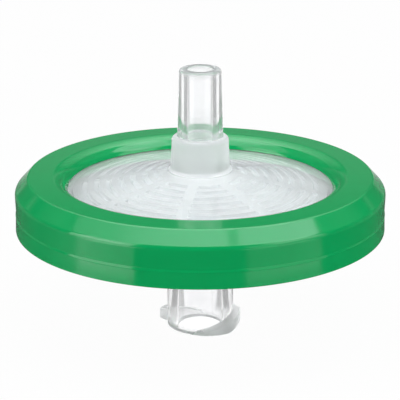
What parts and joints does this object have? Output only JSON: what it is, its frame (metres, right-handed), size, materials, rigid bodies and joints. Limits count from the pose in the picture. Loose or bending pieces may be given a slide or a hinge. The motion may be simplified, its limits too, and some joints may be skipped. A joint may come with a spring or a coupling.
{
  "type": "syringe filter",
  "caption": "Round syringe filter: a white membrane under a ribbed clear lid, a green overmoulded ring, a female luer lock inlet below and a male luer slip outlet above.",
  "frame": {"origin": "on the filter's axis, in the plane of the female luer's mouth, which it stands on", "axes": "+Z along the axis from the inlet to the outlet; +X to the right and -Y to the front, with the middles of two drain channels 10 degrees clockwise of +X and -X"},
  "size_m": [0.035, 0.035, 0.0254],
  "materials": {
    "clear_housing": "clear natural polypropylene, injection moulded, polished at the luer slip and lightly textured on the collar",
    "green_ring": "opaque green polypropylene, overmoulded, satin gloss",
    "white_membrane": "white microporous polymer membrane, matt"
  },
  "bodies": {
    "root": {"inlet_housing": "clear_housing", "membrane": "white_membrane", "outlet_housing": "clear_housing", "overmould_ring": "green_ring"}
  },
  "joints": []
}
